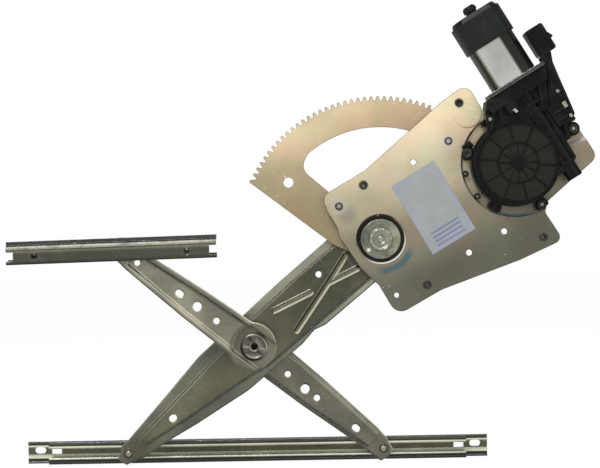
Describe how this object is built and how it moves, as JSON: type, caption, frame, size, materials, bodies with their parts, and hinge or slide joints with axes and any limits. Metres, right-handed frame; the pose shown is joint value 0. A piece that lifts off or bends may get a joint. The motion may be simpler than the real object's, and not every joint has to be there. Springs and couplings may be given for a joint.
{
  "type": "window regulator",
  "caption": "Electric cross-arm window regulator: plate with worm gear motor, sector gear, scissor arms, fixed guide rail and slotted glass channel.",
  "frame": {"origin": "centre of the locating M6 clinch nut beside the main pivot, on the base plate's cabin face", "axes": "+Z is the way the glass rises, -Y points at the cabin (the motor's side), +X runs along the glass channel toward the motor"},
  "size_m": [0.5877, 0.0687, 0.4582],
  "materials": {
    "zinc_plate": "pale yellow zinc plated sheet steel with faint iridescence",
    "pivot_zinc": "zinc plated steel, rubbed",
    "dark_fastener": "black phosphated steel",
    "bright_rivet": "zinc plated steel",
    "slide_plastic": "natural acetal",
    "label_paper": "blank printed-film label, matt",
    "gearbox_plastic": "black glass filled nylon, satin",
    "cap_plastic": "black painted pressed cap, satin",
    "seal_rubber": "black nitrile rubber",
    "flange_steel": "zinc plated steel",
    "can_steel": "bright zinc plated drawn steel",
    "magnet_ferrite": "ferrite magnet, ground",
    "brush_carbon": "carbon",
    "bearing_bronze": "oil filled sintered bronze",
    "board_green": "glass fibre circuit board",
    "contact_brass": "tinned brass",
    "rail_steel": "galvanised rolled steel, grey olive",
    "arm_steel": "galvanised pressed steel, grey olive",
    "roller_plastic": "natural acetal",
    "shaft_steel": "hardened steel",
    "core_steel": "laminated steel, varnished",
    "commutator_copper": "copper segments"
  },
  "bodies": {
    "base": {"base_plate": "zinc_plate", "clinch_nuts": "dark_fastener", "sector_guide_pads": "bright_rivet", "main_pivot_rivet": "pivot_zinc", "pivot_front_washer": "pivot_zinc", "pivot_slide_washer": "slide_plastic", "pivot_rear_washer": "pivot_zinc", "data_label": "label_paper", "gear_housing": "gearbox_plastic", "gear_cover": "gearbox_plastic", "cover_seal": "seal_rubber", "motor_screws": "dark_fastener", "motor_flange": "flange_steel", "motor_can": "can_steel", "motor_end_cap": "cap_plastic", "field_magnets": "magnet_ferrite", "brush_holder": "gearbox_plastic", "brushes": "brush_carbon", "shaft_bearings": "bearing_bronze", "thrust_pad": "shaft_steel", "electronics_housing": "gearbox_plastic", "circuit_board": "board_green", "connector_contacts": "contact_brass", "fixed_guide_rail": "rail_steel", "rail_clinch_nuts": "dark_fastener"},
    "lift_arm": {"sector_gear": "zinc_plate", "lift_arm": "arm_steel", "arm_rivets": "bright_rivet", "scissor_bush": "bearing_bronze", "lift_roller_pin": "arm_steel"},
    "equalizer": {"equalizer_front_half": "arm_steel", "equalizer_rear_half": "arm_steel", "scissor_rivet": "arm_steel", "rail_roller_pin": "arm_steel", "glass_roller_pin": "arm_steel"},
    "glass_channel": {"glass_channel": "rail_steel"},
    "output": {"worm_wheel": "roller_plastic", "wheel_damper": "seal_rubber", "output_shaft": "shaft_steel", "drive_pinion": "shaft_steel"},
    "armature": {"armature_shaft": "shaft_steel", "armature_core": "core_steel", "commutator": "commutator_copper"},
    "lift_roller": {"lift_roller": "roller_plastic"},
    "rail_roller": {"rail_roller": "roller_plastic"},
    "glass_roller": {"glass_roller": "roller_plastic"}
  },
  "joints": [
    {"name": "window_lift", "type": "hinge", "parent": "base", "child": "lift_arm", "pos_m": [0.0166, 0.009, -0.0541], "axis": [0, 1, 0], "range_deg": [0, 90]},
    {"name": "scissor", "type": "hinge", "parent": "lift_arm", "child": "equalizer", "pos_m": [-0.11226, 0.01, -0.16032], "axis": [0, 1, 0], "range_deg": [-180, 0]},
    {"name": "channel_level", "type": "hinge", "parent": "equalizer", "child": "glass_channel", "pos_m": [0.0166, 0.03, -0.26655], "axis": [0, 1, 0], "range_deg": [0, 90]},
    {"name": "output_drive", "type": "hinge", "parent": "base", "child": "output", "pos_m": [0.15248, 0, 0.01946], "axis": [0, 1, 0], "range_deg": [-1005, 0]},
    {"name": "armature_spin", "type": "hinge", "parent": "base", "child": "armature", "pos_m": [0.18752, -0.011, 0.04076], "axis": [-0.5195, 0, 0.8545], "continuous": true},
    {"name": "lift_roller_spin", "type": "hinge", "parent": "lift_arm", "child": "lift_roller", "pos_m": [-0.24112, 0.03, -0.26655], "axis": [0, 1, 0], "continuous": true},
    {"name": "rail_roller_spin", "type": "hinge", "parent": "equalizer", "child": "rail_roller", "pos_m": [-0.24528, -0.01, -0.05936], "axis": [0, 1, 0], "continuous": true},
    {"name": "glass_roller_spin", "type": "hinge", "parent": "equalizer", "child": "glass_roller", "pos_m": [0.0166, 0.03, -0.26655], "axis": [0, 1, 0], "continuous": true}
  ],
  "couplings": [
    {"joint": "scissor", "follows": "window_lift", "ratio": -2},
    {"joint": "channel_level", "follows": "window_lift", "ratio": 1},
    {"joint": "output_drive", "follows": "window_lift", "ratio": -11.167}
  ]
}
